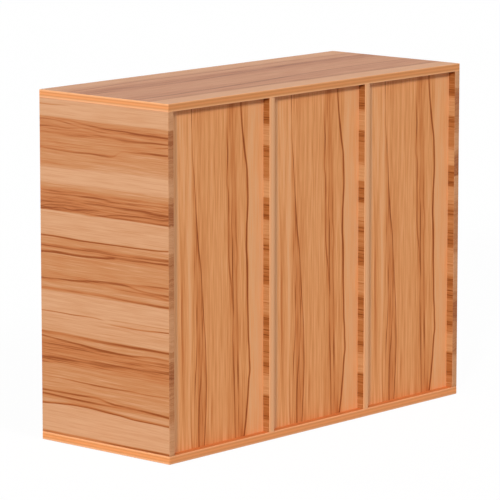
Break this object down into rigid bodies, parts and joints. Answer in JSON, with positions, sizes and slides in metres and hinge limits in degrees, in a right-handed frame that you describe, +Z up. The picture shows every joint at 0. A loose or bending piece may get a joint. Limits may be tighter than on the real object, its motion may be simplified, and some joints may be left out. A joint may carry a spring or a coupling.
{
  "type": "desktop file organizer",
  "caption": "Wooden desktop organizer with three bays of flat letter compartments between sliding shelves, a drawer under each bay and a recessed panelled back.",
  "frame": {"origin": "middle of the case's footprint, on the surface that it stands on", "axes": "+X to the right as seen from the open front, +Y from the front to the back, +Z up"},
  "size_m": [0.748, 0.291, 0.59],
  "materials": {
    "cap_board": "heartwood-beech laminate on board, semi-matt, orange edge banding",
    "upright_board": "heartwood-beech laminate on board, semi-matt",
    "back_panel": "wood-grain foil on thin hardboard, semi-matt",
    "shelf": "wood-grain foil on thin hardboard, semi-matt",
    "drawer_front": "heartwood-beech laminate on board, semi-matt",
    "drawer_box": "plain pale beech laminate on board",
    "drawer_bottom": "plain pale foil on thin hardboard",
    "dowel": "bare beech",
    "cam_bolt": "bright zinc-plated steel",
    "cam_disc": "die-cast zinc"
  },
  "bodies": {
    "case": {"bottom_board": "cap_board", "top_board": "cap_board", "left_side": "upright_board", "left_divider": "upright_board", "right_divider": "upright_board", "right_side": "upright_board", "left_back_panel": "back_panel", "middle_back_panel": "back_panel", "right_back_panel": "back_panel", "left_deck": "upright_board", "middle_deck": "upright_board", "right_deck": "upright_board", "dowels": "dowel", "cam_bolts": "cam_bolt", "cam_discs": "cam_disc"},
    "left_shelf_1": {"left_shelf_1": "shelf"},
    "left_shelf_2": {"left_shelf_2": "shelf"},
    "left_shelf_3": {"left_shelf_3": "shelf"},
    "left_shelf_4": {"left_shelf_4": "shelf"},
    "left_shelf_5": {"left_shelf_5": "shelf"},
    "left_shelf_6": {"left_shelf_6": "shelf"},
    "left_shelf_7": {"left_shelf_7": "shelf"},
    "left_drawer": {"left_drawer_front": "drawer_front", "left_drawer_left_side": "drawer_box", "left_drawer_right_side": "drawer_box", "left_drawer_back": "drawer_box", "left_drawer_bottom": "drawer_bottom"},
    "middle_shelf_1": {"middle_shelf_1": "shelf"},
    "middle_shelf_2": {"middle_shelf_2": "shelf"},
    "middle_shelf_3": {"middle_shelf_3": "shelf"},
    "middle_shelf_4": {"middle_shelf_4": "shelf"},
    "middle_shelf_5": {"middle_shelf_5": "shelf"},
    "middle_shelf_6": {"middle_shelf_6": "shelf"},
    "middle_shelf_7": {"middle_shelf_7": "shelf"},
    "middle_drawer": {"middle_drawer_front": "drawer_front", "middle_drawer_left_side": "drawer_box", "middle_drawer_right_side": "drawer_box", "middle_drawer_back": "drawer_box", "middle_drawer_bottom": "drawer_bottom"},
    "right_shelf_1": {"right_shelf_1": "shelf"},
    "right_shelf_2": {"right_shelf_2": "shelf"},
    "right_shelf_3": {"right_shelf_3": "shelf"},
    "right_shelf_4": {"right_shelf_4": "shelf"},
    "right_shelf_5": {"right_shelf_5": "shelf"},
    "right_shelf_6": {"right_shelf_6": "shelf"},
    "right_shelf_7": {"right_shelf_7": "shelf"},
    "right_drawer": {"right_drawer_front": "drawer_front", "right_drawer_left_side": "drawer_box", "right_drawer_right_side": "drawer_box", "right_drawer_back": "drawer_box", "right_drawer_bottom": "drawer_bottom"}
  },
  "joints": [
    {"name": "left_shelf_1_slide", "type": "slide", "parent": "case", "child": "left_shelf_1", "axis": [0, -1, 0], "range_m": [0, 0.273]},
    {"name": "left_shelf_2_slide", "type": "slide", "parent": "case", "child": "left_shelf_2", "axis": [0, -1, 0], "range_m": [0, 0.273]},
    {"name": "left_shelf_3_slide", "type": "slide", "parent": "case", "child": "left_shelf_3", "axis": [0, -1, 0], "range_m": [0, 0.273]},
    {"name": "left_shelf_4_slide", "type": "slide", "parent": "case", "child": "left_shelf_4", "axis": [0, -1, 0], "range_m": [0, 0.273]},
    {"name": "left_shelf_5_slide", "type": "slide", "parent": "case", "child": "left_shelf_5", "axis": [0, -1, 0], "range_m": [0, 0.273]},
    {"name": "left_shelf_6_slide", "type": "slide", "parent": "case", "child": "left_shelf_6", "axis": [0, -1, 0], "range_m": [0, 0.273]},
    {"name": "left_shelf_7_slide", "type": "slide", "parent": "case", "child": "left_shelf_7", "axis": [0, -1, 0], "range_m": [0, 0.273]},
    {"name": "left_drawer_slide", "type": "slide", "parent": "case", "child": "left_drawer", "axis": [0, -1, 0], "range_m": [0, 0.2]},
    {"name": "middle_shelf_1_slide", "type": "slide", "parent": "case", "child": "middle_shelf_1", "axis": [0, -1, 0], "range_m": [0, 0.273]},
    {"name": "middle_shelf_2_slide", "type": "slide", "parent": "case", "child": "middle_shelf_2", "axis": [0, -1, 0], "range_m": [0, 0.273]},
    {"name": "middle_shelf_3_slide", "type": "slide", "parent": "case", "child": "middle_shelf_3", "axis": [0, -1, 0], "range_m": [0, 0.273]},
    {"name": "middle_shelf_4_slide", "type": "slide", "parent": "case", "child": "middle_shelf_4", "axis": [0, -1, 0], "range_m": [0, 0.273]},
    {"name": "middle_shelf_5_slide", "type": "slide", "parent": "case", "child": "middle_shelf_5", "axis": [0, -1, 0], "range_m": [0, 0.273]},
    {"name": "middle_shelf_6_slide", "type": "slide", "parent": "case", "child": "middle_shelf_6", "axis": [0, -1, 0], "range_m": [0, 0.273]},
    {"name": "middle_shelf_7_slide", "type": "slide", "parent": "case", "child": "middle_shelf_7", "axis": [0, -1, 0], "range_m": [0, 0.273]},
    {"name": "middle_drawer_slide", "type": "slide", "parent": "case", "child": "middle_drawer", "axis": [0, -1, 0], "range_m": [0, 0.2]},
    {"name": "right_shelf_1_slide", "type": "slide", "parent": "case", "child": "right_shelf_1", "axis": [0, -1, 0], "range_m": [0, 0.273]},
    {"name": "right_shelf_2_slide", "type": "slide", "parent": "case", "child": "right_shelf_2", "axis": [0, -1, 0], "range_m": [0, 0.273]},
    {"name": "right_shelf_3_slide", "type": "slide", "parent": "case", "child": "right_shelf_3", "axis": [0, -1, 0], "range_m": [0, 0.273]},
    {"name": "right_shelf_4_slide", "type": "slide", "parent": "case", "child": "right_shelf_4", "axis": [0, -1, 0], "range_m": [0, 0.273]},
    {"name": "right_shelf_5_slide", "type": "slide", "parent": "case", "child": "right_shelf_5", "axis": [0, -1, 0], "range_m": [0, 0.273]},
    {"name": "right_shelf_6_slide", "type": "slide", "parent": "case", "child": "right_shelf_6", "axis": [0, -1, 0], "range_m": [0, 0.273]},
    {"name": "right_shelf_7_slide", "type": "slide", "parent": "case", "child": "right_shelf_7", "axis": [0, -1, 0], "range_m": [0, 0.273]},
    {"name": "right_drawer_slide", "type": "slide", "parent": "case", "child": "right_drawer", "axis": [0, -1, 0], "range_m": [0, 0.2]}
  ]
}
